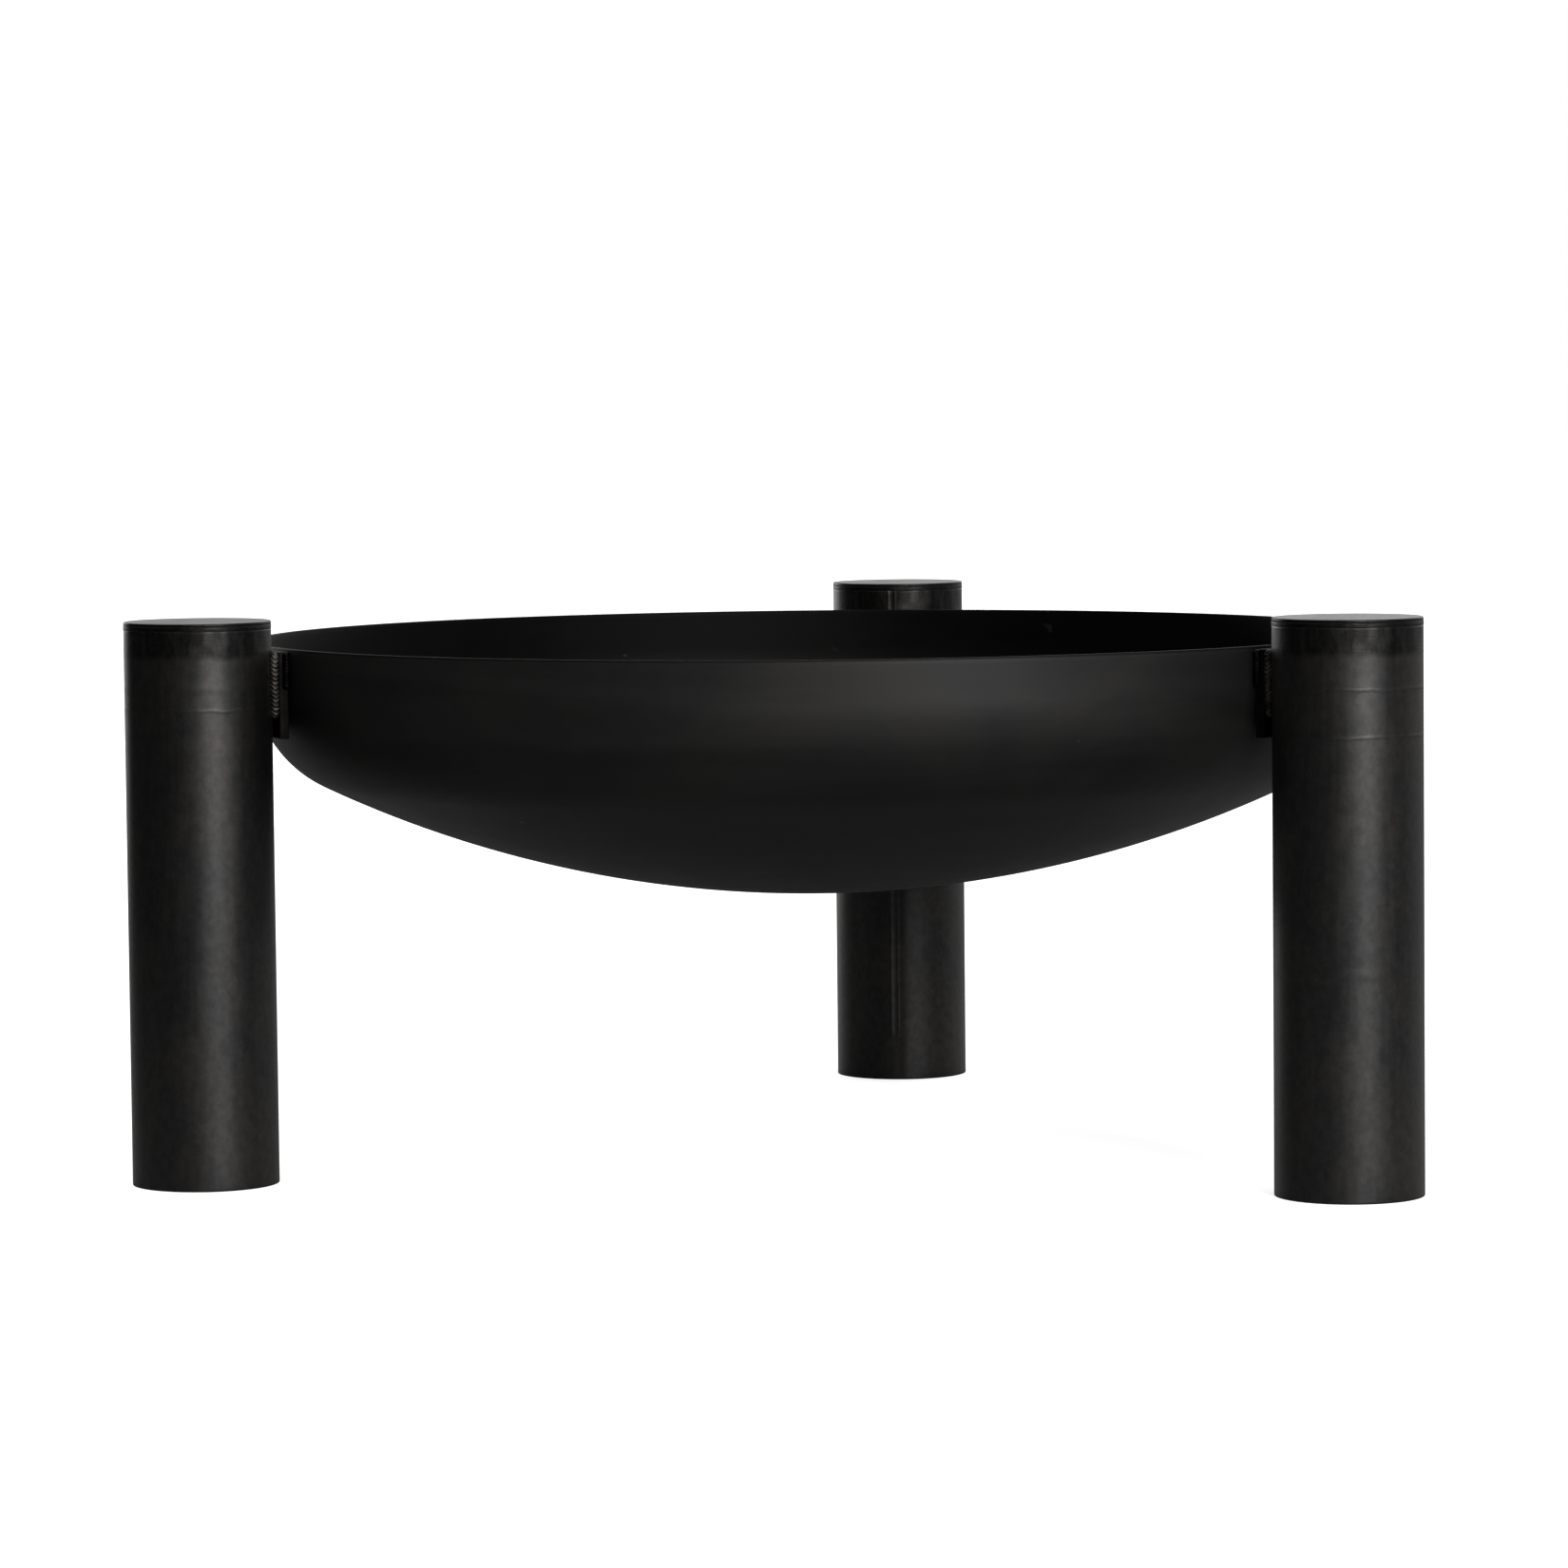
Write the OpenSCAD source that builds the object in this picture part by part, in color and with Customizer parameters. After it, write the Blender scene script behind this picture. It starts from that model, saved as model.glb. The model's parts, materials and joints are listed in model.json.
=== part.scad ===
// Three-legged steel fire pit: a dished bowl hung between capped tube legs,
// with a loose log grate that lifts out of the bowl.
// Millimetres, +Z up. The origin is on the ground, under the middle of the whole part.
// The back leg stands towards +Y, the two front legs towards -Y.

/* [Bowl] */
// Outside diameter of the bowl
bowl_d = 800; // [760:10:860]
// Thickness of the bowl's sheet
bowl_t = 3; // [2:0.5:5]
// Height of the upright flange under the rim
flange_h = 28; // [20:1:34]

/* [Legs] */
// Outside diameter of the leg tube
leg_d = 101.6; // [88.9:0.1:114.3]
// Wall thickness of the leg tube
leg_wall = 3; // [2.5:0.5:5]
// Height of a leg, with its cap
leg_h = 390; // [370:5:450]
// How far the rim lies below the leg tops
rim_drop = 20; // [10:1:40]
// Thickness of the disc that closes a leg
cap_t = 4; // [3:0.5:6]

/* [Spacer plates] */
// Width of the plate between leg and bowl
plate_w = 50; // [44:1:56]
// Height of the plate
plate_h = 60; // [52:1:90]
// Thickness of the plate
plate_t = 6; // [4:1:10]
// How far the plate's top lies below the rim
plate_drop = 2; // [0:0.5:6]

/* [Welds] */
// Depth of the bevel that the cap's weld fills
cap_bevel = 1.5; // [1:0.1:2]
// Diameter of the bead between plate and leg
tube_bead_d = 7.4; // [6.6:0.2:12]
// Length of the bead between plate and leg
tube_bead_h = 46; // [30:1:50]
// Diameter of the bead between plate and bowl
bowl_bead_d = 5; // [4.6:0.2:7]

/* [Grate] */
// Outside diameter of the grate
grate_d = 460; // [420:10:480]
// Diameter of the hoop's round bar
hoop_bar_d = 12; // [11:1:16]
// Diameter of the cross bars
bar_d = 10; // [8:0.5:10]
// Distance between neighbouring cross bars
bar_pitch = 44; // [38:1:46]
// Length of a foot below the hoop
foot_h = 32; // [24:1:44]
// Distance from the middle to each strap
strap_x = 110; // [90:5:130]
// Height of a strap
strap_h = 18; // [14:1:22]
// Thickness of a strap
strap_t = 5; // [3:1:8]
// Diameter of the lifting loops' rod
loop_bar_d = 8; // [6:1:10]
// Width of a lifting loop, between rod centres
loop_w = 52; // [44:2:60]
// Height of a loop's upright ends
loop_leg_h = 18; // [12:1:24]

/* [Hidden] */
$fn = 96;
// The loose grate stands this far off the bowl
rest_gap = 0.3;

bowl_r = bowl_d / 2;
leg_r = leg_d / 2;
rim_z = leg_h - rim_drop;

// The bowl is a dished head: a large crown, a tight knuckle and an upright flange
crown_r = bowl_d;
knuckle_r = bowl_d / 10;
knuckle_x = bowl_r - bowl_t - knuckle_r;
knuckle_z = rim_z - flange_h;
crown_z = knuckle_z + sqrt(pow(crown_r - knuckle_r, 2) - pow(knuckle_x, 2));
// Where the line from the crown's centre through the knuckle's centre passes a depth below it
sector_reach = 2;
sector_x = knuckle_x * sector_reach;
sector_z = crown_z - (crown_z - knuckle_z) * sector_reach;

// The legs' axes stand on this circle, outside the spacer plates
leg_ring_r = bowl_r + plate_t + leg_r;
// The bowl's axis lies off the origin, so that the whole part is centred on it
axis_y = (bowl_r - leg_ring_r - leg_r) / 2;

cap_z = leg_h - cap_t;
cap_edge = 0.6;
plate_top = rim_z - plate_drop;
// How far the plate's blank reaches into the bowl before it is cut to the bowl's curve
plate_stock = 5;

// Places of the beads' centres: outward from the plate, and in from its edge
tube_bead_out = 2.6;
tube_bead_in = 3;
bowl_bead_out = 1;
bowl_bead_in = -1.2;

hoop_r = (grate_d - hoop_bar_d) / 2;
foot_d = bar_d;
foot_z = floor_z(hoop_r + foot_d / 2) + rest_gap;
hoop_z = foot_z + foot_h + hoop_bar_d / 2;
// The straps' top edges lie a little below the bars' axes, and the bars sit in notches
strap_drop = 1;
loop_x = sqrt(pow(hoop_r, 2) - pow(loop_w / 2, 2));

LEG_NAMES = ["back", "left", "right"];
LEG_ANGLES = [90, 210, 330];
BAR_COUNT = 9;
SIDES = ["left", "right"];

steel_dark = "#37383b";
steel_tube = "#45474b";
steel_plate = "#2e2f31";
steel_weld = "#8d8a80";
steel_soot = "#262628";

LEG_PARTS = ["leg_tube_", "leg_cap_", "cap_weld_", "spacer_plate_", "leg_weld_", "bowl_weld_"];

// Height of the bowl's inner surface at a distance from its axis, on the crown
function floor_z(r) = crown_z - sqrt(pow(crown_r, 2) - pow(r, 2));

// Moves a piece from the bowl's own axis into the part's frame
module on_axis() {
    translate([0, axis_y, 0]) children();
}

// The same, turned so that +X points outwards through leg i
module at_leg(i) {
    on_axis() rotate([0, 0, LEG_ANGLES[i]]) children();
}

// ---- Bowl ----

// Half-section of the dished wall: crown, knuckle and flange
module bowl_section() {
    // crown, from the axis to where the knuckle starts
    intersection() {
        translate([0, crown_z]) difference() {
            circle(r = crown_r + bowl_t, $fn = 360);
            circle(r = crown_r, $fn = 360);
        }
        polygon([[0, crown_z], [0, sector_z - crown_r], [sector_x, sector_z]]);
    }
    // knuckle, from the crown to the upright flange
    intersection() {
        translate([knuckle_x, knuckle_z]) difference() {
            circle(r = knuckle_r + bowl_t);
            circle(r = knuckle_r);
        }
        polygon([[knuckle_x, knuckle_z], [sector_x, sector_z], [bowl_d, sector_z], [bowl_d, knuckle_z]]);
    }
    // flange
    translate([bowl_r - bowl_t, knuckle_z]) square([bowl_t, flange_h]);
}

module bowl() {
    color(steel_dark) on_axis() rotate_extrude() bowl_section();
}

// ---- Legs ----

// Tube with a bevelled top edge for the cap's weld
module leg_tube() {
    color(steel_tube) translate([leg_ring_r, 0, 0]) rotate_extrude() polygon([
        [leg_r - leg_wall, 0],
        [leg_r, 0],
        [leg_r, cap_z - cap_bevel],
        [leg_r - cap_bevel, cap_z],
        [leg_r - leg_wall, cap_z]
    ]);
}

// Flat disc with a bevelled underside edge and a dressed top edge
module leg_cap() {
    color(steel_dark) translate([leg_ring_r, 0, 0]) rotate_extrude() polygon([
        [0, cap_z],
        [leg_r - cap_bevel, cap_z],
        [leg_r, cap_z + cap_bevel],
        [leg_r, leg_h - cap_edge],
        [leg_r - cap_edge, leg_h],
        [0, leg_h]
    ]);
}

// Weld between cap and tube, ground flush
module cap_weld() {
    color(steel_weld) translate([leg_ring_r, 0, 0]) rotate_extrude() polygon([
        [leg_r - cap_bevel, cap_z],
        [leg_r, cap_z - cap_bevel],
        [leg_r, cap_z + cap_bevel]
    ]);
}

// Plan of the plate's blank, with the bowl's axis at the origin
module plate_plan() {
    translate([bowl_r - plate_stock, -plate_w / 2]) square([plate_stock + plate_t, plate_w]);
}

// Plate between leg and bowl, its inner face shaped to the bowl
module spacer_plate() {
    color(steel_plate) translate([0, 0, plate_top - plate_h]) linear_extrude(plate_h) difference() {
        plate_plan();
        circle(r = bowl_r, $fn = 360);
    }
}

// Beads in the two grooves between the plate's face and the round leg
module leg_weld() {
    color(steel_weld) for (side = [-1, 1])
        translate([0, 0, plate_top - tube_bead_h]) linear_extrude(tube_bead_h) difference() {
            translate([bowl_r + plate_t + tube_bead_out, side * (plate_w / 2 - tube_bead_in)])
                circle(d = tube_bead_d);
            plate_plan();
            translate([leg_ring_r, 0]) circle(r = leg_r);
        }
}

// Beads in the two corners between the plate's edges and the bowl's flange
module bowl_weld() {
    color(steel_weld) for (side = [-1, 1])
        translate([0, 0, knuckle_z]) linear_extrude(plate_top - knuckle_z) difference() {
            translate([bowl_r + bowl_bead_out, side * (plate_w / 2 - bowl_bead_in)])
                circle(d = bowl_bead_d);
            plate_plan();
            circle(r = bowl_r, $fn = 360);
        }
}

// ---- Grate ----

// Round bar bent into a ring
module hoop_solid() {
    translate([0, 0, hoop_z]) rotate_extrude() translate([hoop_r, 0]) circle(d = hoop_bar_d);
}

// Distance of bar i from the grate's middle
function bar_y(i) = (i - (BAR_COUNT + 1) / 2) * bar_pitch;

// Bar i before its ends are cut to the hoop
module bar_solid(i) {
    half = sqrt(pow(hoop_r, 2) - pow(bar_y(i), 2));
    translate([-half, bar_y(i), hoop_z]) rotate([0, 90, 0]) cylinder(d = bar_d, h = 2 * half);
}

module grate_hoop() {
    color(steel_soot) on_axis() hoop_solid();
}

// Cross bar with its ends coped to the hoop
module grate_bar(i) {
    color(steel_soot) on_axis() difference() {
        bar_solid(i);
        hoop_solid();
    }
}

// Flat strap on edge under the bars, notched for each of them
module grate_strap(side) {
    half = sqrt(pow(hoop_r, 2) - pow(strap_x, 2));
    color(steel_soot) on_axis() difference() {
        translate([side * strap_x - strap_t / 2, -half, hoop_z - strap_drop - strap_h])
            cube([strap_t, 2 * half, strap_h]);
        hoop_solid();
        for (i = [1 : BAR_COUNT]) bar_solid(i);
    }
}

// Upright peg under the hoop, turned to stand under one leg's direction
module grate_foot() {
    color(steel_soot) difference() {
        translate([hoop_r, 0, foot_z]) cylinder(d = foot_d, h = hoop_z - foot_z);
        hoop_solid();
    }
}

// Lifting loop: a bent rod with both ends on the hoop
module grate_loop(side) {
    color(steel_soot) on_axis() difference() {
        translate([side * loop_x, 0, hoop_z]) {
            for (end = [-1, 1])
                translate([0, end * loop_w / 2, 0]) cylinder(d = loop_bar_d, h = loop_leg_h);
            translate([0, 0, loop_leg_h]) rotate([90, 0, 90])
                rotate_extrude(angle = 180) translate([loop_w / 2, 0]) circle(d = loop_bar_d);
        }
        hoop_solid();
    }
}

// ---- Assembly ----

bowl();

for (i = [0 : 2]) {
    at_leg(i) leg_tube();
    at_leg(i) leg_cap();
    at_leg(i) cap_weld();
    at_leg(i) spacer_plate();
    at_leg(i) leg_weld();
    at_leg(i) bowl_weld();
    at_leg(i) grate_foot();
}

grate_hoop();

for (i = [1 : BAR_COUNT])
    grate_bar(i);

for (i = [0 : 1]) {
    grate_strap(2 * i - 1);
    grate_loop(2 * i - 1);
}
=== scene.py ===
import json
import math

import bmesh
import bpy
from mathutils import Matrix, Vector, noise


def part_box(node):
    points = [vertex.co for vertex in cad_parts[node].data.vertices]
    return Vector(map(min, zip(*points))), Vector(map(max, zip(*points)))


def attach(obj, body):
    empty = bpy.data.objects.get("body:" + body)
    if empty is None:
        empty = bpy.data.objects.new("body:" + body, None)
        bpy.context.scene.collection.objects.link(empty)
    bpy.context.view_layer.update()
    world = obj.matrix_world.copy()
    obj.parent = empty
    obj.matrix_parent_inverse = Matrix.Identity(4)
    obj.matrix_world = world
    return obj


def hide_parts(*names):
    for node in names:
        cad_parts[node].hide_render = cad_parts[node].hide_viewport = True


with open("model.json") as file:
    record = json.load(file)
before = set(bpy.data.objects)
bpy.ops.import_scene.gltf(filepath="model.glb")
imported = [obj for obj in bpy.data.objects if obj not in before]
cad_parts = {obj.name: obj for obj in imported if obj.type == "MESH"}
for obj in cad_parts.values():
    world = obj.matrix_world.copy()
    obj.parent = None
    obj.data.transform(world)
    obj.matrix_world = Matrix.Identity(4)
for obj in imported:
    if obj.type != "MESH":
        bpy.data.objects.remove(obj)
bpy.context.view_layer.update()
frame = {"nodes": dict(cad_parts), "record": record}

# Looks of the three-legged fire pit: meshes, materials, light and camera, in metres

MM = 0.001

# ---- Sizes, taken from the frame ----


def centre(node):
    """Middle of a CAD node's box."""
    low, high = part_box(node)
    return (low + high) / 2


def extent(node):
    """Size of a CAD node's box."""
    low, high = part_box(node)
    return high - low


AXIS = Vector((centre("bowl").x, centre("bowl").y, 0))
BOWL_R = extent("bowl").x / 2
RIM_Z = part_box("bowl")[1].z

LEG_R = extent("leg_tube_back").x / 2
LEG_RING_R = centre("leg_tube_back").y - AXIS.y
LEG_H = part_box("leg_cap_back")[1].z
CAP_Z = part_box("leg_cap_back")[0].z
CAP_WELD = extent("cap_weld_back").z / 2

PLATE_W = extent("spacer_plate_back").x
PLATE_OUT_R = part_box("spacer_plate_back")[1].y - AXIS.y
PLATE_LOW, PLATE_HIGH = (corner.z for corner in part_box("spacer_plate_back"))
LEG_BEAD_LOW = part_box("leg_weld_back")[0].z
BOWL_BEAD_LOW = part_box("bowl_weld_back")[0].z

HOOP_R = (extent("grate_hoop").x - extent("grate_hoop").z) / 2
HOOP_BAR_R = extent("grate_hoop").z / 2
HOOP_Z = centre("grate_hoop").z
BAR_R = extent("grate_bar_1").z / 2
FOOT_R = extent("grate_foot_back").x / 2
LOOP_BAR_R = extent("grate_loop_left").x / 2
LOOP_HALF_W = extent("grate_loop_left").y / 2 - LOOP_BAR_R
STRAP_T = extent("grate_strap_left").x
STRAP_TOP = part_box("grate_strap_left")[1].z

# Sizes of the sheet and tube walls, and of the dished head, which follow from its diameter
SHEET = 3 * MM
TUBE_WALL = 3 * MM
RIM_EDGE = 0.7 * MM
FLANGE_H = 28 * MM
CROWN_R = 2 * BOWL_R
KNUCKLE_R = 0.2 * BOWL_R
CROWN_Z = RIM_Z - FLANGE_H + math.sqrt((CROWN_R - KNUCKLE_R) ** 2 - (BOWL_R - SHEET - KNUCKLE_R) ** 2)

LEG_ANGLES = {"back": 90, "left": 210, "right": 330}
# Depth below the leg's top and half width of the faint burnished rings round each tube, in mm
BURNISHED = {
    "back": ((42, 2), (66, 3)),
    "left": ((45, 5), (60, 2)),
    "right": ((47, 2), (79, 2), (236, 6)),
}
# Angle round each tube, from its outward side, of the seam, and height where it begins to show
SEAM_ANGLE = math.radians(182)
SEAM_LOW = 32 * MM
BARS = range(1, 10)
SIDES = ("left", "right")

# How many sides the round meshes have
BOWL_SIDES = 384
TUBE_SIDES = 160
WELD_RING_SIDES = 320
SMALL_WELD_SIDES = 10
WELD_PATH_STEPS = 40


# ---- Mesh helpers ----

def make_object(name, mesh, place=Matrix.Identity(4)):
    """A smooth-shaded object from a bmesh. Its mesh is turned, and it is shifted, as its place says."""
    mesh.transform(place.to_3x3().to_4x4())
    data = bpy.data.meshes.new(name)
    bmesh.ops.recalc_face_normals(mesh, faces=mesh.faces)
    mesh.to_mesh(data)
    mesh.free()
    data.shade_smooth()
    piece = bpy.data.objects.new(name, data)
    bpy.context.scene.collection.objects.link(piece)
    piece.location = place.translation
    return piece


def skin(mesh, rows):
    """Joins closed rows of vertices into faces. A row of one vertex is a pole."""
    for row, following in zip(rows, rows[1:]):
        count = max(len(row), len(following))
        for i in range(count):
            j = (i + 1) % count
            if len(row) == 1:
                corners = (row[0], following[j], following[i])
            elif len(following) == 1:
                corners = (row[i], row[j], following[0])
            else:
                corners = (row[i], row[j], following[j], following[i])
            mesh.faces.new(corners)


def even_angles(count):
    """Evenly spaced angles round a full turn."""
    return [math.tau * i / count for i in range(count)]


def lathe(profile, angles, ripple):
    """A bmesh turned from (radius, height) points. A radius of 0 makes a pole.
    ripple(angle, radius, height) is added to the radius."""
    mesh = bmesh.new()
    rows = []
    for radius, height in profile:
        if radius == 0:
            rows.append([mesh.verts.new((0, 0, height))])
            continue
        row = []
        for angle in angles:
            r = radius + ripple(angle, radius, height)
            row.append(mesh.verts.new((r * math.cos(angle), r * math.sin(angle), height)))
        rows.append(row)
    skin(mesh, rows)
    if profile[0] == profile[-1]:
        bmesh.ops.remove_doubles(mesh, verts=rows[0] + rows[-1], dist=MM / 1000)
    return mesh


def arc(middle, radius, start, end, steps):
    """Points on an arc in the profile plane. Angles are in degrees, and both ends are included."""
    points = []
    for i in range(steps + 1):
        a = math.radians(start + (end - start) * i / steps)
        points.append((middle[0] + radius * math.cos(a), middle[1] + radius * math.sin(a)))
    return points


def line(start, end, steps):
    """Points on a straight line in the profile plane, without its first point."""
    return [
        (start[0] + (end[0] - start[0]) * i / steps, start[1] + (end[1] - start[1]) * i / steps)
        for i in range(1, steps + 1)
    ]


def bell(distance, width):
    """A smooth hump: 1 at no distance, near 0 beyond two widths."""
    return math.exp(-(distance / width) ** 2)


def leg_place(name):
    """Turns +X outwards through a leg, with the origin on the bowl's axis."""
    return Matrix.Translation(AXIS) @ Matrix.Rotation(math.radians(LEG_ANGLES[name]), 4, "Z")


def finish_piece(piece, body, slot, material, *replaced):
    """Gives a new piece its body, its material and the CAD nodes it stands for. The slot argument is not
    used.
    """
    piece.data.materials.append(material)
    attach(piece, body)
    if replaced:
        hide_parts(*replaced)


# ---- Node helpers ----

class Graph:
    """A node tree and the nodes that materials and the studio both use."""

    def __init__(self, tree):
        self.tree = tree

    def add(self, kind):
        """A new node of one kind."""
        return self.tree.nodes.new(kind)

    def feed(self, socket, value):
        """Joins a socket to another one, or sets it to a plain value."""
        if isinstance(value, bpy.types.NodeSocket):
            self.tree.links.new(value, socket)
        else:
            socket.default_value = value

    def math(self, operation, a, b=0.0):
        """One step of arithmetic."""
        node = self.add("ShaderNodeMath")
        node.operation = operation
        self.feed(node.inputs[0], a)
        self.feed(node.inputs[1], b)
        return node.outputs[0]

    def range(self, value, low, high, out_low=0.0, out_high=1.0):
        """Carries low..high smoothly over to out_low..out_high, and holds it there."""
        node = self.add("ShaderNodeMapRange")
        node.interpolation_type = "SMOOTHSTEP"
        self.feed(node.inputs["Value"], value)
        node.inputs["From Min"].default_value = low
        node.inputs["From Max"].default_value = high
        self.feed(node.inputs["To Min"], out_low)
        self.feed(node.inputs["To Max"], out_high)
        return node.outputs["Result"]


class Shader(Graph):
    """A material's node graph around its Principled shader, in the piece's own coordinates."""

    def __init__(self, name, metallic=1.0):
        self.material = bpy.data.materials.new(name)
        self.material.use_nodes = True
        super().__init__(self.material.node_tree)
        self.surface = self.tree.nodes["Principled BSDF"]
        self.surface.inputs["Metallic"].default_value = metallic
        self.place = self.add("ShaderNodeTexCoord").outputs["Object"]

    def vary(self, base, pattern, amount):
        """A value that a pattern from 0 to 1 moves by half an amount down or up."""
        return self.math("ADD", base, self.math("MULTIPLY", self.math("SUBTRACT", pattern, 0.5), amount))

    def reach(self, x, y):
        """Distance from the vertical line through x = 0 and y = 0."""
        squares = self.math("ADD", self.math("MULTIPLY", x, x), self.math("MULTIPLY", y, y))
        return self.math("SQRT", squares)

    def split(self):
        """The place's three coordinates."""
        node = self.add("ShaderNodeSeparateXYZ")
        self.feed(node.inputs[0], self.place)
        return node.outputs

    def stretch(self, scale, turn=0.0):
        """The place, turned about Z and scaled differently along each axis."""
        node = self.add("ShaderNodeMapping")
        self.feed(node.inputs["Vector"], self.place)
        node.inputs["Scale"].default_value = scale
        node.inputs["Rotation"].default_value = (0, 0, turn)
        return node.outputs[0]

    def combine(self, x, y, z):
        """A vector or colour from three values."""
        node = self.add("ShaderNodeCombineXYZ")
        for socket, value in zip(node.inputs, (x, y, z)):
            self.feed(socket, value)
        return node.outputs[0]

    def noise(self, vector, scale, detail, rough, warp=0.0):
        """A cloudy pattern between 0 and 1."""
        node = self.add("ShaderNodeTexNoise")
        self.feed(node.inputs["Vector"], vector)
        node.inputs["Scale"].default_value = scale
        node.inputs["Detail"].default_value = detail
        node.inputs["Roughness"].default_value = rough
        node.inputs["Distortion"].default_value = warp
        return node.outputs["Fac"]

    def band(self, value, middle, half_width):
        """1 at the middle, falling smoothly to 0 at half_width away."""
        away = self.math("ABSOLUTE", self.math("SUBTRACT", value, middle))
        return self.range(away, 0.0, half_width, 1.0, 0.0)

    def mix(self, share, a, b):
        """Colour a, going to colour b as share goes to 1."""
        node = self.add("ShaderNodeMix")
        node.data_type = "RGBA"
        self.feed(node.inputs["Factor"], share)
        self.feed(node.inputs["A"], a)
        self.feed(node.inputs["B"], b)
        return node.outputs["Result"]

    def darken(self, colour, share):
        """A colour times a grey factor."""
        node = self.add("ShaderNodeMix")
        node.data_type = "RGBA"
        node.blend_type = "MULTIPLY"
        node.inputs["Factor"].default_value = 1.0
        self.feed(node.inputs["A"], colour)
        self.feed(node.inputs["B"], self.combine(share, share, share))
        return node.outputs["Result"]

    def finish(self, colour, roughness, heights):
        """Joins up the shader. heights is a list of (height, depth in metres), laid over each other."""
        self.feed(self.surface.inputs["Base Color"], colour)
        self.feed(self.surface.inputs["Roughness"], roughness)
        normal = None
        for height, depth in heights:
            node = self.add("ShaderNodeBump")
            node.inputs["Distance"].default_value = depth
            self.feed(node.inputs["Height"], height)
            if normal:
                self.feed(node.inputs["Normal"], normal)
            normal = node.outputs[0]
        self.feed(self.surface.inputs["Normal"], normal)
        return self.material


def grey(value, warmth=0.0):
    """A linear grey, warmer (redder) or cooler by a share of itself."""
    return (value * (1 + warmth), value, value * (1 - warmth), 1)


# ---- Materials ----

def ground_share(s, patches):
    """1 on the ground band at a leg's top, going raggedly to 0 below it, and the ragged depth itself."""
    band_start, band_end, ragged = 21 * MM, 27 * MM, 6 * MM
    depth = s.vary(s.math("SUBTRACT", LEG_H, s.split()["Z"]), patches, ragged)
    return s.range(depth, band_start, band_end, 1.0, 0.0), depth


def seam_tone(s, name):
    """Darkening beside the tube's seam, where the heat reached, and the scraped lighter line on it."""
    scraped_w, heat_w, heat_tone = 3.2 * MM, 6 * MM, 0.35
    x, y, z = s.split()
    angle = math.radians(LEG_ANGLES[name]) + SEAM_ANGLE
    out_x, out_y = math.cos(angle), math.sin(angle)
    towards = s.math("ADD", s.math("MULTIPLY", x, out_x), s.math("MULTIPLY", y, out_y))
    across = s.math("SUBTRACT", s.math("MULTIPLY", y, out_x), s.math("MULTIPLY", x, out_y))
    facing = s.math("GREATER_THAN", towards, 0.0)
    shown = s.range(z, SEAM_LOW + MM, SEAM_LOW + 6 * MM)
    scraped = s.math("MULTIPLY", s.band(across, 0.0, scraped_w), shown)
    heat = s.math("SUBTRACT", s.band(across, heat_w, heat_w), scraped)
    return s.math("SUBTRACT", 1.0, s.math("MULTIPLY", s.math("MULTIPLY", heat, heat_tone), facing))


def tube_steel(name):
    """Drawn tube with mill scale: streaks up the tube, a darker ground band at its top."""
    s = Shader("tube_steel_" + name)
    patches = s.noise(s.stretch((1, 1, 0.5)), scale=34, detail=4, rough=0.55, warp=0.4)
    mottle = s.noise(s.stretch((1, 1, 0.8)), scale=170, detail=3, rough=0.6)
    streaks = s.noise(s.stretch((1, 1, 0.05)), scale=260, detail=4, rough=0.6)
    specks = s.noise(s.stretch((1, 1, 0.6)), scale=900, detail=3, rough=0.7)
    smears = s.noise(s.stretch((1, 1, 0.4)), scale=110, detail=3, rough=0.6)
    ground, depth = ground_share(s, patches)
    colour = s.mix(s.range(patches, 0.35, 0.65), grey(0.053), grey(0.06, 0.06))
    colour = s.darken(colour, s.range(mottle, 0.3, 0.7, 0.86, 1.12))
    colour = s.mix(s.range(specks, 0.64, 0.8), colour, grey(0.085, 0.03))
    worn = s.range(smears, 0.4, 0.7, 0.68, 0.3)
    colour = s.darken(colour, s.math("SUBTRACT", 1.0, s.math("MULTIPLY", ground, worn)))
    colour = s.darken(colour, seam_tone(s, name))
    rough = s.vary(s.vary(0.44, streaks, 0.16), patches, 0.12)
    rings = 0.0
    for below, half_width in BURNISHED[name]:
        rings = s.math("ADD", s.band(depth, below * MM, half_width * MM), rings)
    strokes = s.noise(s.stretch((1, 1, 14)), scale=90, detail=4, rough=0.7)
    grind = s.math("MULTIPLY", strokes, ground)
    relief = [(streaks, 0.02 * MM), (specks, 0.02 * MM), (grind, 0.12 * MM), (rings, 0.07 * MM)]
    return s.finish(colour, rough, relief)


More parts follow.
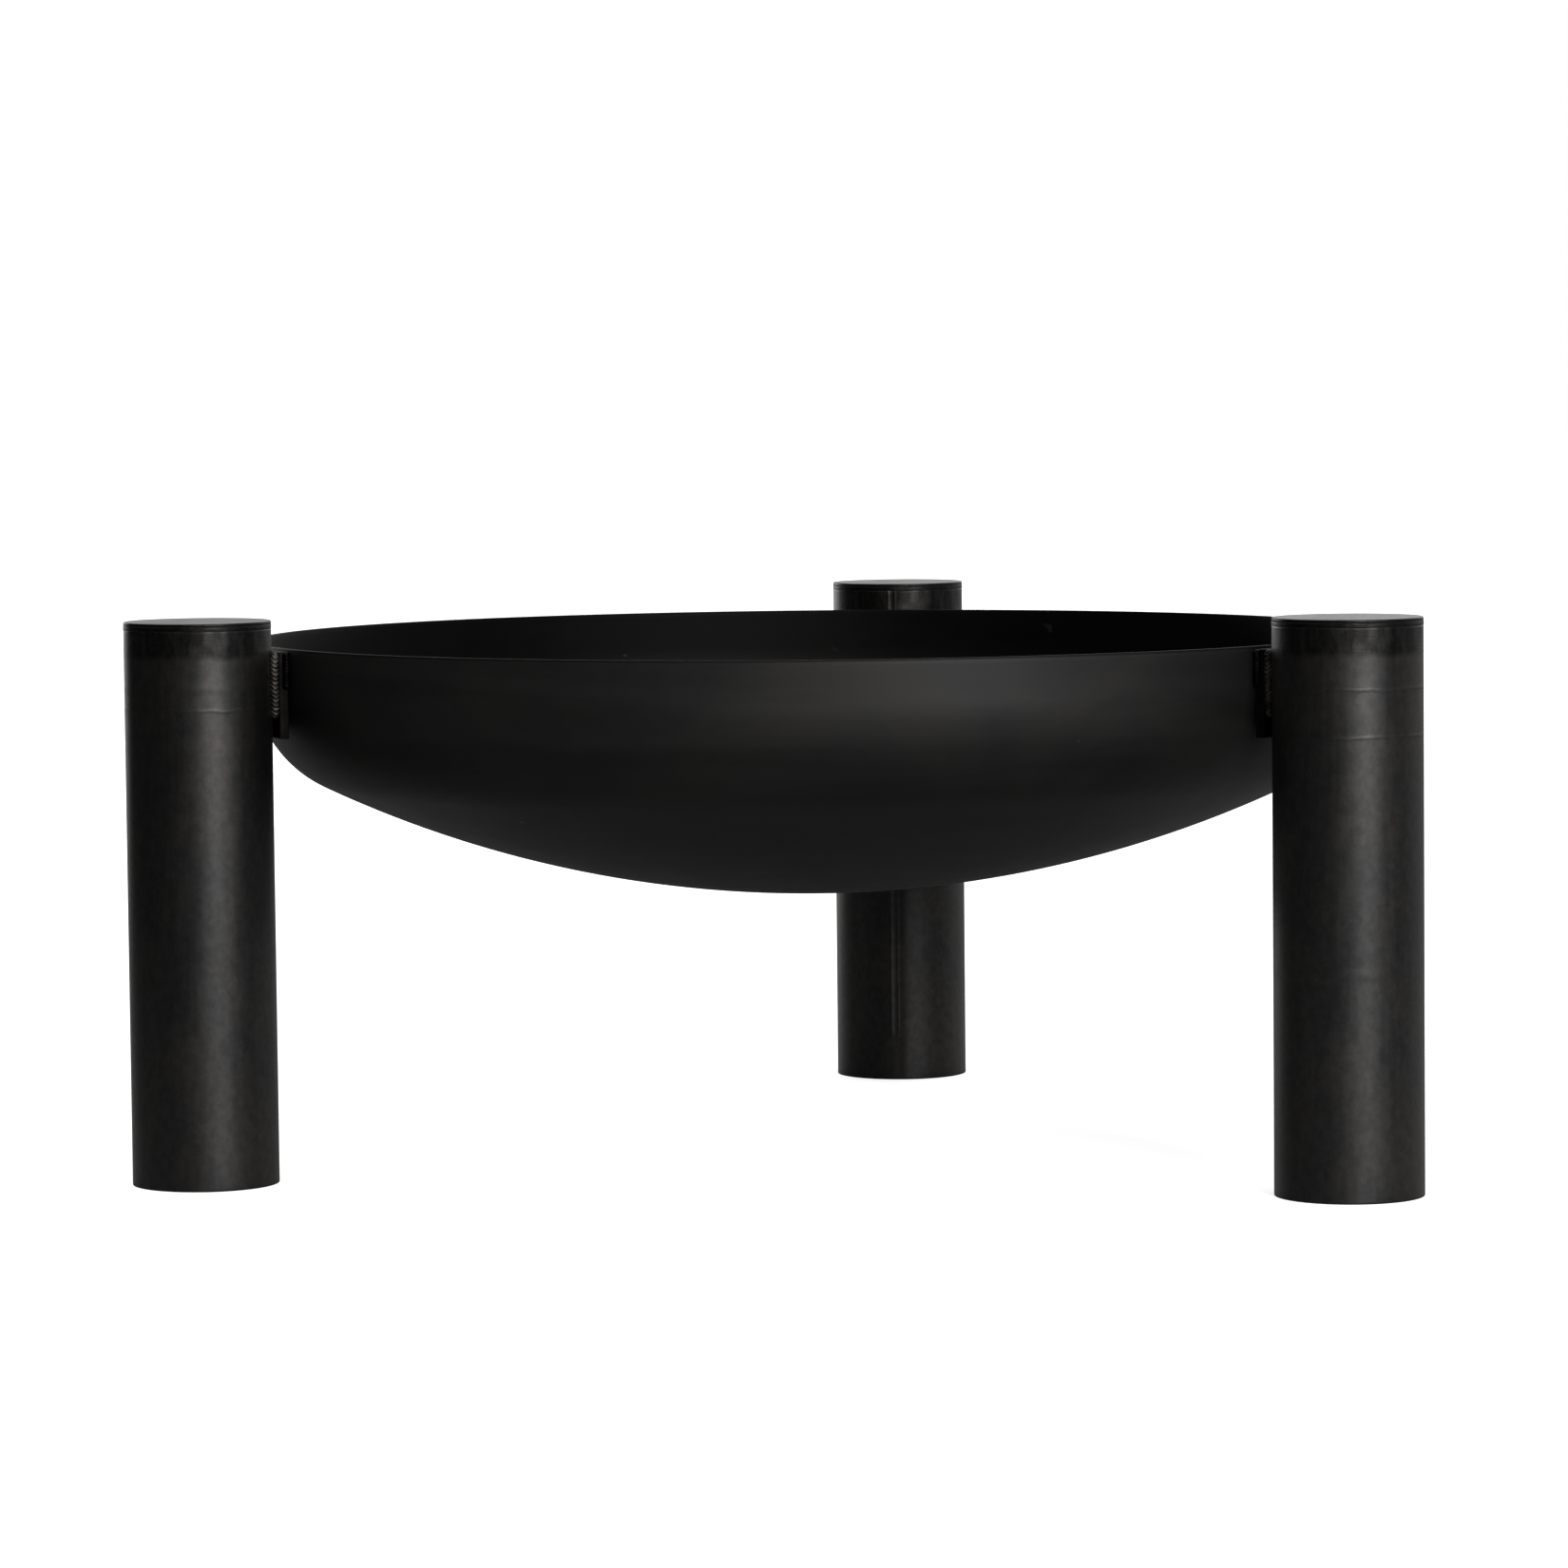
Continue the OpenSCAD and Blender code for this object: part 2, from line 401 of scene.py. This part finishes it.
def bowl_steel(name, light, painted_shade, shade_low, shade_full):
    """Pressed sheet with mill scale, faintly banded round the bowl. light scales its brightness.
    Painted shade takes a share of it, growing from one depth below the rim to another."""
    s = Shader(name)
    x, y, z = s.split()
    # a length that grows steadily from the bowl's middle, along the crown, to the rim
    along = s.math("ADD", s.math("MULTIPLY", s.reach(x, y), 0.8), z)
    # patterns in these coordinates are drawn out round the bowl
    drawn = s.combine(s.math("MULTIPLY", x, 0.12), s.math("MULTIPLY", y, 0.12), along)
    banding = s.noise(drawn, scale=34, detail=4, rough=0.5, warp=0.4)
    lines = s.noise(drawn, scale=520, detail=3, rough=0.6)
    clouds = s.noise(s.place, scale=9, detail=5, rough=0.6, warp=0.8)
    specks = s.noise(s.place, scale=700, detail=3, rough=0.7)
    chips = s.noise(s.place, scale=60, detail=2, rough=0.5)
    colour = s.mix(s.range(clouds, 0.3, 0.7), grey(0.045 * light, -0.02), grey(0.054 * light, 0.04))
    colour = s.darken(colour, s.range(banding, 0.3, 0.7, 0.88, 1.1))
    colour = s.mix(s.range(specks, 0.7, 0.82), colour, grey(0.08 * light, 0.02))
    colour = s.mix(s.range(chips, 0.76, 0.8), colour, grey(0.16 * light, 0.02))
    # painted shade near the rim: outside it dulls the highlight on the rim's edge, inside it darkens the
    # upper wall
    colour = s.darken(colour, s.range(z, RIM_Z - shade_low, RIM_Z - shade_full, 1.0, 1.0 - painted_shade))
    rough = s.vary(s.vary(0.6, banding, 0.12), clouds, 0.16)
    return s.finish(colour, rough, [(banding, 0.08 * MM), (lines, 0.02 * MM), (specks, 0.02 * MM)])


def cap_steel():
    """Disc with its face dressed by a grinder, so fine strokes cross it."""
    s = Shader("cap_steel")
    strokes = s.noise(s.stretch((0.05, 1, 1), turn=0.5), scale=420, detail=5, rough=0.7)
    across = s.noise(s.stretch((1, 0.06, 1), turn=0.9), scale=260, detail=4, rough=0.7)
    clouds = s.noise(s.place, scale=30, detail=4, rough=0.6, warp=0.5)
    colour = s.mix(s.range(clouds, 0.3, 0.7), grey(0.14, 0.02), grey(0.22))
    colour = s.mix(s.range(strokes, 0.5, 0.75), colour, grey(0.24, 0.01))
    rough = s.math("ADD", 0.36, s.math("MULTIPLY", across, 0.16))
    return s.finish(colour, rough, [(strokes, 0.04 * MM), (across, 0.04 * MM)])


def ground_steel():
    """Weld and disc edge dressed flush with the tube: dark, with strokes round the leg and a few pits."""
    s = Shader("ground_steel")
    strokes = s.noise(s.stretch((1, 1, 14)), scale=90, detail=4, rough=0.7)
    pits = s.noise(s.place, scale=130, detail=4, rough=0.6)
    colour = s.mix(s.range(pits, 0.3, 0.5), grey(0.012, 0.05), grey(0.022, 0.02))
    colour = s.mix(s.range(strokes, 0.56, 0.75), colour, grey(0.04, 0.02))
    rough = s.math("ADD", 0.38, s.math("MULTIPLY", strokes, 0.14))
    return s.finish(colour, rough, [(pits, 0.06 * MM), (strokes, 0.1 * MM)])


def plate_steel():
    """Hot-rolled flat bar, dark with scale and browned by the welds' heat, and far darker than the other
    steel as painted shade of the gap between leg and bowl.
    """
    s = Shader("plate_steel")
    clouds = s.noise(s.place, scale=60, detail=4, rough=0.6, warp=0.4)
    specks = s.noise(s.place, scale=600, detail=4, rough=0.7)
    # painted shade: greys far darker than the other scaled steel, for the shaded gap beside the leg
    colour = s.mix(s.range(clouds, 0.35, 0.65), grey(0.008, -0.05), grey(0.013, 0.16))
    rough = s.math("ADD", 0.56, s.math("MULTIPLY", specks, 0.15))
    return s.finish(colour, rough, [(clouds, 0.1 * MM), (specks, 0.04 * MM)])


def bead_steel(name, light):
    """Weld metal under a brown and straw oxide, with a few bare specks. light scales its brightness."""
    s = Shader(name)
    tint = s.noise(s.place, scale=110, detail=4, rough=0.7, warp=0.6)
    specks = s.noise(s.place, scale=520, detail=4, rough=0.7)
    colour = s.mix(s.range(tint, 0.4, 0.62), grey(0.04 * light, 0.12), grey(0.13 * light, 0.08))
    colour = s.mix(s.range(specks, 0.6, 0.72), colour, grey(0.5 * light, 0.03))
    rough = s.math("ADD", 0.38, s.math("MULTIPLY", tint, 0.25))
    return s.finish(colour, rough, [(specks, 0.12 * MM)])


def grate_steel():
    """Black bar steel with patchy scale and a dry, sooty surface."""
    s = Shader("grate_steel")
    clouds = s.noise(s.place, scale=32, detail=5, rough=0.6, warp=0.5)
    specks = s.noise(s.place, scale=480, detail=4, rough=0.7)
    colour = s.mix(s.range(clouds, 0.35, 0.65), grey(0.03), grey(0.05, 0.12))
    colour = s.mix(s.range(specks, 0.6, 0.75), colour, grey(0.09, 0.06))
    rough = s.vary(0.5, clouds, 0.3)
    return s.finish(colour, rough, [(clouds, 0.2 * MM), (specks, 0.06 * MM)])


def pale_floor():
    """Pale to the camera. Seen from the steel it is dim, brighter in a painted pool of light, and dimmer
    further out.
    """
    s = Shader("pale_floor", metallic=0.0)
    grain = s.noise(s.place, scale=60, detail=5, rough=0.6)
    x, y, _ = s.split()
    reach = s.reach(s.math("SUBTRACT", x, POOL_X), s.math("SUBTRACT", y, POOL_Y))
    dim = s.range(reach, POOL_R, POOL_FADE_R, FLOOR_NEAR, FLOOR_FAR)
    seen = s.add("ShaderNodeLightPath").outputs["Is Camera Ray"]
    colour = s.mix(grain, grey(0.86), grey(0.9))
    colour = s.mix(seen, s.combine(dim, dim, dim), colour)
    s.surface.inputs["Emission Color"].default_value = (1, 1, 1, 1)
    s.feed(s.surface.inputs["Emission Strength"], s.math("MULTIPLY", seen, FLOOR_GLOW))
    return s.finish(colour, 0.9, [(grain, 0.2 * MM)])


# ---- Bowl ----

def bowl_profile():
    """The dished wall, from the middle of its outside over the rim to the middle of its inside."""
    inner_r = BOWL_R - SHEET
    knuckle = (inner_r - KNUCKLE_R, RIM_Z - FLANGE_H)
    crown = (0, CROWN_Z)
    joint = -math.degrees(math.atan2(crown[1] - knuckle[1], knuckle[0]))
    crown_steps, knuckle_steps, flange_steps, edge_steps = 64, 36, 8, 4
    points = [(0, crown[1] - CROWN_R - SHEET)]
    points += arc(crown, CROWN_R + SHEET, -90, joint, crown_steps)[1:]
    points += arc(knuckle, KNUCKLE_R + SHEET, joint, 0, knuckle_steps)[1:]
    points += line(points[-1], (BOWL_R, RIM_Z - RIM_EDGE), flange_steps)
    points += arc((BOWL_R - RIM_EDGE, RIM_Z - RIM_EDGE), RIM_EDGE, 0, 90, edge_steps)[1:]
    points += arc((inner_r + RIM_EDGE, RIM_Z - RIM_EDGE), RIM_EDGE, 90, 180, edge_steps)
    points += line(points[-1], (inner_r, knuckle[1]), flange_steps)
    points += arc(knuckle, KNUCKLE_R, 0, joint, knuckle_steps)[1:]
    points += arc(crown, CROWN_R, joint, -90, crown_steps)[1:-1]
    points += [(0, crown[1] - CROWN_R)]
    return points


def build_bowl():
    """Pressed bowl, with one material outside and a darker copy of it inside, darker as painted shade."""
    wave_depth, wave_scale, up_scale = 0.4 * MM, 2.2, 6

    def wave(angle, radius, height):
        """Slow unevenness of the pressed wall, fading out towards the middle."""
        around = Vector((math.cos(angle), math.sin(angle), height * up_scale))
        return wave_depth * noise.noise(around * wave_scale) * radius / BOWL_R

    mesh = lathe(bowl_profile(), even_angles(BOWL_SIDES), wave)
    bmesh.ops.recalc_face_normals(mesh, faces=mesh.faces)
    for face in mesh.faces:
        inward = Vector((0, 0, CROWN_Z)) - face.calc_center_median()
        face.material_index = int(face.normal.dot(inward) > 0)
    bowl = make_object("bowl_shell", mesh, Matrix.Translation(AXIS))
    # outside, painted shade on the rim's top edge only, which takes out its highlight
    outside = bowl_steel("bowl_steel", light=0.8, painted_shade=0.6, shade_low=2 * MM, shade_full=RIM_EDGE)
    # inside, a darker copy of the same steel as painted shade, with more painted shade growing up the wall
    # towards the rim
    inside = bowl_steel("bowl_inside", light=0.65, painted_shade=0.72, shade_low=90 * MM, shade_full=FLANGE_H)
    finish_piece(bowl, "stand", "bowl_steel", outside, "bowl")
    bowl.data.materials.append(inside)


# ---- Legs ----

def tube_angles():
    """Angles round the tube, close together at its seam."""
    spread, steps = math.radians(10), 20
    coarse = [a for a in even_angles(TUBE_SIDES) if abs(a - SEAM_ANGLE) > spread]
    fine = [SEAM_ANGLE + spread * i / steps for i in range(-steps, steps + 1)]
    return sorted(coarse + fine)


def build_tube(name):
    """Tube with broken edges at its sawn foot, and the bevel for the cap's weld at its top."""
    outer_r, inner_r = LEG_R, LEG_R - TUBE_WALL
    top = CAP_Z - CAP_WELD
    edge = 0.5 * MM
    ring_rise = 0.02 * MM
    raw_bead, raw_bead_w = 0.7 * MM, 1.4 * MM
    # the dressed seam is a groove between two lips, which fade in above its lower end
    seam_depth, seam_fade = 0.2 * MM, 8 * MM
    groove_w, lip_place, lip_w = 1.6 * MM, 2.6 * MM, 0.8 * MM
    edge_steps, outer_steps, inner_steps = 3, 260, 20
    profile = [(inner_r + edge, 0), (outer_r - edge, 0)]
    profile += arc((outer_r - edge, edge), edge, -90, 0, edge_steps)[1:]
    profile += line((outer_r, edge), (outer_r, top), outer_steps)
    profile += line(profile[-1], (outer_r - CAP_WELD, CAP_Z), 1)
    profile += line(profile[-1], (inner_r, CAP_Z), 1)
    profile += line(profile[-1], (inner_r, edge), inner_steps)
    profile += [(inner_r + edge, 0)]

    def ripple(angle, radius, height):
        """Burnished rings outside, and the dressed seam outside with its raw bead inside."""
        off_seam = (angle - SEAM_ANGLE) * LEG_R
        if radius < outer_r - TUBE_WALL / 2:
            return -raw_bead * bell(off_seam, raw_bead_w)
        rise = 0
        for below, half_width in BURNISHED[name]:
            rise += ring_rise * bell(LEG_H - height - below * MM, half_width * MM)
        fade = min(1, max(0, (height - SEAM_LOW) / seam_fade))
        lips = bell(abs(off_seam) - lip_place, lip_w)
        groove = bell(off_seam, groove_w)
        return rise + fade * seam_depth * (lips - groove)

    place = leg_place(name) @ Matrix.Translation((LEG_RING_R, 0, 0))
    tube = make_object("tube_" + name, lathe(profile, tube_angles(), ripple), place)
    finish_piece(tube, "stand", "tube_steel", tube_steel(name), "leg_tube_" + name)


def build_cap(name, top_material, side_material):
    """Disc with a dressed edge, and the ring weld under it."""
    place = leg_place(name) @ Matrix.Translation((LEG_RING_R, 0, 0))
    edge = 0.9 * MM
    out_of_round, round_scale = 0.25 * MM, 3
    lump_depth, lump_scale, lump_up_scale = 0.08 * MM, 16, 900
    side_steps, edge_steps, top_steps, weld_steps = 2, 5, 12, 8
    seam = CAP_Z + CAP_WELD
    profile = [(0, CAP_Z), (LEG_R - CAP_WELD, CAP_Z), (LEG_R, seam)]
    profile += line((LEG_R, seam), (LEG_R, LEG_H - edge), side_steps)
    profile += arc((LEG_R - edge, LEG_H - edge), edge, 0, 90, edge_steps)[1:]
    profile += line(profile[-1], (LEG_R - 2 * edge, LEG_H), 1)
    profile += line(profile[-1], (0.1 * LEG_R, LEG_H), top_steps)
    profile += [(0, LEG_H)]

    def dressed(angle, radius, height):
        """The grinder leaves the edge a little out of round."""
        around = Vector((math.cos(angle), math.sin(angle), LEG_ANGLES[name]))
        return out_of_round * noise.noise(around * round_scale) * (height > CAP_Z) * (radius > LEG_R / 2)

    mesh = lathe(profile, even_angles(TUBE_SIDES), dressed)
    for face in mesh.faces:
        face.material_index = int(face.calc_center_median().z < LEG_H - edge / 3)
    cap = make_object("cap_" + name, mesh, place)
    finish_piece(cap, "stand", "cap_steel", top_material, "leg_cap_" + name)
    cap.data.materials.append(side_material)

    # the weld fills the bevels with a slight bulge
    bulge_r, bulge, half_angle = 10 * CAP_WELD, 0.1 * CAP_WELD, 5.7
    root = (LEG_R - CAP_WELD, CAP_Z)
    middle = (LEG_R + bulge - bulge_r, CAP_Z)
    ring = [root] + arc(middle, bulge_r, -half_angle, half_angle, weld_steps) + [root]

    def lumpy(angle, radius, height):
        """Small lumps and hollows that the grinding left in the weld."""
        flat = Vector((math.cos(angle), math.sin(angle), 0)) * lump_scale
        around = flat + Vector((0, 0, height * lump_up_scale + LEG_ANGLES[name]))
        return lump_depth * noise.noise(around) * (radius > LEG_R - CAP_WELD / 2)

    weld = make_object("cap_weld_ring_" + name, lathe(ring, even_angles(WELD_RING_SIDES), lumpy), place)
    finish_piece(weld, "stand", "ground_weld", side_material, "cap_weld_" + name)


# ---- Spacer plates ----

def build_plate(name, material):
    """Flat bar between leg and bowl, its inner face shaped to the bowl and its edges broken."""
    mesh = bmesh.new()
    half = PLATE_W / 2
    steps = 16
    broken_edge, sharp = 0.8 * MM, math.radians(40)
    inner = []
    for i in range(steps + 1):
        y = -half + PLATE_W * i / steps
        inner.append((math.sqrt(BOWL_R ** 2 - y ** 2), y))
    outline = [(PLATE_OUT_R, -half)] + inner + [(PLATE_OUT_R, half)]
    rows = [[mesh.verts.new((x, y, z)) for x, y in outline] for z in (PLATE_LOW, PLATE_HIGH)]
    skin(mesh, rows)
    for row in rows:
        mesh.faces.new(row)
    bmesh.ops.recalc_face_normals(mesh, faces=mesh.faces)
    corners = [e for e in mesh.edges if e.calc_face_angle(0) > sharp]
    bmesh.ops.bevel(mesh, geom=corners, offset=broken_edge, segments=3, profile=0.5, affect="EDGES")
    plate = make_object("spacer_" + name, mesh, leg_place(name))
    shade = plate.modifiers.new("even_shading", "WEIGHTED_NORMAL")
    shade.keep_sharp = True
    finish_piece(plate, "stand", "plate_steel", material, "spacer_plate_" + name)


# ---- Weld beads ----

def sweep_bead(mesh, path, radius, pitch, sides, closed=False):
    """A rippled weld bead along a path of points. Each ripple laps over the one before it."""
    swell_share, swell_scale = 0.12, 160
    thinnest = 0.02
    ripple_low, ripple_rise, ripple_bend = 0.88, 0.16, 0.6
    count = len(path)
    lengths = [0.0]
    for a, b in zip(path, path[1:]):
        lengths.append(lengths[-1] + (b - a).length)
    total = lengths[-1]
    rows = []
    upright = abs((path[1] - path[0]).normalized().z) > 0.9
    guide = Vector((1, 0, 0)) if upright else Vector((0, 0, 1))
    for i, point in enumerate(path):
        ahead = path[(i + 1) % count] if closed or i < count - 1 else point
        behind = path[i - 1] if closed or i > 0 else point
        forward = (ahead - behind).normalized()
        side = forward.cross(guide).normalized()
        guide = side.cross(forward)
        swell = 1 + swell_share * noise.noise(point * swell_scale)
        if not closed:
            # the open ends are rounded off
            gap = min(lengths[i], total - lengths[i]) / radius
            swell *= math.sqrt(max(thinnest, 1 - max(0, 1 - gap) ** 2))
        row = []
        for k in range(sides):
            a = math.tau * k / sides
            phase = lengths[i] / pitch + ripple_bend * math.cos(2 * a)
            scallop = ripple_low + ripple_rise * abs(math.sin(math.pi * phase))
            r = radius * swell * scallop
            row.append(mesh.verts.new(point + side * (r * math.cos(a)) + guide * (r * math.sin(a))))
        rows.append(row)
    if closed:
        rows.append(rows[0])
    skin(mesh, rows)
    if not closed:
        mesh.faces.new(rows[0])
        mesh.faces.new(rows[-1])


def straight(start, end, step):
    """Evenly spaced points from start to end."""
    count = max(2, round((end - start).length / step))
    return [start.lerp(end, i / count) for i in range(count + 1)]


def build_joint_beads(name, leg_material, bowl_material):
    """The two beads that join a plate to its leg, and the two that join it to the bowl."""
    step = 0.35 * MM

    def build_pair(joined, out, across, low, radius, pitch, sides, material):
        """Two upright beads at a distance out from the bowl's axis and across from the plate's middle."""
        mesh = bmesh.new()
        for y in (-across, across):
            path = straight(Vector((out, y, low)), Vector((out, y, PLATE_HIGH)), step)
            sweep_bead(mesh, path, radius, pitch, sides)
        beads = make_object(f"{joined}_beads_{name}", mesh, leg_place(name))
        finish_piece(beads, "stand", "weld_bead", material, f"{joined}_weld_{name}")

    # in the groove between the plate's face and the round leg
    build_pair("leg", PLATE_OUT_R + 2.6 * MM, PLATE_W / 2 - 3 * MM, LEG_BEAD_LOW,
               radius=3.8 * MM, pitch=3.0 * MM, sides=32, material=leg_material)
    # in the corner between the plate's edge and the bowl's flange
    build_pair("bowl", BOWL_R + 1.0 * MM, PLATE_W / 2 + 1.2 * MM, BOWL_BEAD_LOW,
               radius=2.6 * MM, pitch=2.4 * MM, sides=28, material=bowl_material)


# ---- Grate ----

def bar_end_path(y, side):
    """Where a cross bar's surface runs into the hoop."""
    path = []
    for angle in even_angles(WELD_PATH_STEPS):
        across, up = BAR_R * math.cos(angle), BAR_R * math.sin(angle)
        reach = HOOP_R - math.sqrt(HOOP_BAR_R ** 2 - up ** 2)
        path.append(Vector((side * math.sqrt(reach ** 2 - (y + across) ** 2), y + across, HOOP_Z + up)))
    return path


def upright_path(middle, radius, way):
    """Where an upright rod's surface runs into the hoop's top (way 1) or underside (way -1)."""
    path = []
    for angle in even_angles(WELD_PATH_STEPS):
        x = middle[0] + radius * math.cos(angle)
        y = middle[1] + radius * math.sin(angle)
        off = math.hypot(x, y) - HOOP_R
        path.append(Vector((x, y, HOOP_Z + way * math.sqrt(HOOP_BAR_R ** 2 - off ** 2))))
    return path


def build_grate_welds(material):
    """Small fillet welds wherever two bars of the grate meet."""
    mesh = bmesh.new()
    gauge, pitch, sides = 1.5 * MM, 1.6 * MM, SMALL_WELD_SIDES
    tack_rise, step = 2 * MM, 0.3 * MM
    for i in BARS:
        y = centre(f"grate_bar_{i}").y - AXIS.y
        for side in (-1, 1):
            sweep_bead(mesh, bar_end_path(y, side), gauge, pitch, sides, closed=True)
    for angle in LEG_ANGLES.values():
        a = math.radians(angle)
        middle = (HOOP_R * math.cos(a), HOOP_R * math.sin(a))
        sweep_bead(mesh, upright_path(middle, FOOT_R, -1), gauge, pitch, sides, closed=True)
    for side in SIDES:
        x = centre("grate_loop_" + side).x
        for y in (-LOOP_HALF_W, LOOP_HALF_W):
            sweep_bead(mesh, upright_path((x, y), LOOP_BAR_R, 1), gauge, pitch, sides, closed=True)
    for side in SIDES:
        x = centre("grate_strap_" + side).x
        for face in (-STRAP_T / 2, STRAP_T / 2):
            for i in BARS:
                y = centre(f"grate_bar_{i}").y - AXIS.y
                for flank in (-BAR_R, BAR_R):
                    # a tack from the strap's face up onto the bar's flank
                    start = Vector((x + face, y + flank, STRAP_TOP - tack_rise))
                    end = Vector((x + 2 * face, y + flank, STRAP_TOP))
                    sweep_bead(mesh, straight(start, end, step), gauge, pitch, sides)
    welds = make_object("grate_welds", mesh, Matrix.Translation(AXIS))
    finish_piece(welds, "grate", "grate_steel", material)


def dress_grate(material):
    """The grate's bars keep their CAD shape."""
    for name in frame["record"]["behaviour"]["bodies"]["grate"]:
        node = frame["nodes"][name]
        node.data.materials.clear()
        node.data.materials.append(material)


# ---- Floor, light and camera ----

# The floor as the steel sees it: a painted pool of light, brightest with this middle and radius, in metres,
# and fading out to a wider radius, with its greys in the pool and far out
POOL_X, POOL_Y, POOL_R, POOL_FADE_R = 0.3, 0.5, 0.7, 2.4
FLOOR_NEAR, FLOOR_FAR = 0.26, 0.03
# The glow that keeps the floor white in the camera, and the floor's radius in metres
FLOOR_GLOW = 0.7
FLOOR_R = 40
# Soft glows of the studio: azimuth and elevation of the middle in degrees, cosines of the angles
# from there at which the glow begins and is full, and its strength
GLOWS = {
    "side": ((138, 0), 0.5, 1.0, 1.2),
    "sky": ((0, 90), 0.4, 0.95, 1.5),
    "back": ((180, 20), 0.8, 1.0, 0.8),
}
# Brightness of the studio where nothing glows
DIM = 0.018


def direction(azimuth, elevation):
    """Unit vector to an azimuth to the right of the front and an elevation, both in degrees."""
    a, e = math.radians(azimuth), math.radians(elevation)
    return Vector((math.sin(a) * math.cos(e), -math.cos(a) * math.cos(e), math.sin(e)))


def build_floor():
    """A wide round floor on the ground."""
    mesh = bmesh.new()
    bmesh.ops.create_circle(mesh, cap_ends=True, radius=FLOOR_R, segments=96)
    floor = make_object("floor", mesh)
    floor.data.materials.append(pale_floor())


def soft_box(name, azimuth, elevation, distance, size, watts):
    """A large plain lamp that looks at the bowl and isn't seen itself."""
    data = bpy.data.lights.new(name, "AREA")
    data.shape = "RECTANGLE"
    data.size, data.size_y = size
    data.energy = watts
    lamp = bpy.data.objects.new(name, data)
    bpy.context.scene.collection.objects.link(lamp)
    lamp.visible_camera = False
    away = direction(azimuth, elevation)
    lamp.location = AXIS + Vector((0, 0, RIM_Z / 2)) + away * distance
    lamp.rotation_euler = away.to_track_quat("Z", "Y").to_euler()


def build_world():
    """White to the camera. To everything else dim, with soft glows behind, on the right and above."""
    world = bpy.data.worlds.new("studio")
    bpy.context.scene.world = world
    world.use_nodes = True
    graph = Graph(world.node_tree)
    graph.tree.nodes.clear()
    way = graph.add("ShaderNodeTexCoord").outputs["Generated"]
    light = DIM
    for middle, start, full, strength in GLOWS.values():
        nearness = graph.add("ShaderNodeVectorMath")
        nearness.operation = "DOT_PRODUCT"
        graph.feed(nearness.inputs[0], way)
        graph.feed(nearness.inputs[1], direction(*middle))
        light = graph.math("ADD", graph.range(nearness.outputs["Value"], start, full, 0.0, strength), light)
    felt = graph.add("ShaderNodeBackground")
    graph.feed(felt.inputs["Strength"], light)
    seen = graph.add("ShaderNodeBackground")
    graph.feed(seen.inputs["Color"], (1, 1, 1, 1))
    choice = graph.add("ShaderNodeMixShader")
    graph.feed(choice.inputs[0], graph.add("ShaderNodeLightPath").outputs["Is Camera Ray"])
    graph.feed(choice.inputs[1], felt.outputs[0])
    graph.feed(choice.inputs[2], seen.outputs[0])
    graph.feed(graph.add("ShaderNodeOutputWorld").inputs["Surface"], choice.outputs[0])


# Place of the camera from the foot of the bowl's axis, how it is turned from facing that axis, and
# its focal length and sensor in millimetres
CAMERA_DISTANCE = 4.368
CAMERA_HEIGHT = 0.564
CAMERA_AZIMUTH = math.radians(8.43)
CAMERA_PAN = math.radians(-0.29)
CAMERA_PITCH = math.radians(-3.96)
CAMERA_ROLL = math.radians(-0.59)
CAMERA_LENS = 140
CAMERA_SENSOR = 36


def build_camera():
    """A long lens in front of the bowl, a little to the right."""
    data = bpy.data.cameras.new("camera")
    data.sensor_width = CAMERA_SENSOR
    data.lens = CAMERA_LENS
    camera = bpy.data.objects.new("camera", data)
    bpy.context.scene.collection.objects.link(camera)
    turn = Matrix.Rotation(CAMERA_AZIMUTH, 4, "Z")
    spot = AXIS + turn @ Vector((0, -CAMERA_DISTANCE, CAMERA_HEIGHT))
    tilt = Matrix.Rotation(-CAMERA_PAN, 4, "Z") @ Matrix.Rotation(math.pi / 2 + CAMERA_PITCH, 4, "X")
    camera.matrix_world = Matrix.Translation(spot) @ turn @ tilt @ Matrix.Rotation(CAMERA_ROLL, 4, "Z")
    bpy.context.scene.camera = camera


# ---- The scene ----

build_camera()
build_world()
build_floor()
soft_box("key", azimuth=34, elevation=18, distance=5.0, size=(1.6, 1.8), watts=170)
soft_box("fill", azimuth=218, elevation=8, distance=5.0, size=(2.0, 1.6), watts=38)

build_bowl()
cap_material = cap_steel()
ground_material = ground_steel()
plate_material = plate_steel()
bright_bead = bead_steel("bright_bead", light=0.55)
# the bowl's beads take a copy at about an eighth of the leg beads' brightness: painted shade in the corner
# against the bowl
painted_shade_bead = bead_steel("painted_shade_bead", light=0.07)
for leg in LEG_ANGLES:
    build_tube(leg)
    build_cap(leg, cap_material, ground_material)
    build_plate(leg, plate_material)
    build_joint_beads(leg, bright_bead, painted_shade_bead)
grate_material = grate_steel()
dress_grate(grate_material)
build_grate_welds(grate_material)

bpy.context.scene.view_settings.view_transform = "Standard"
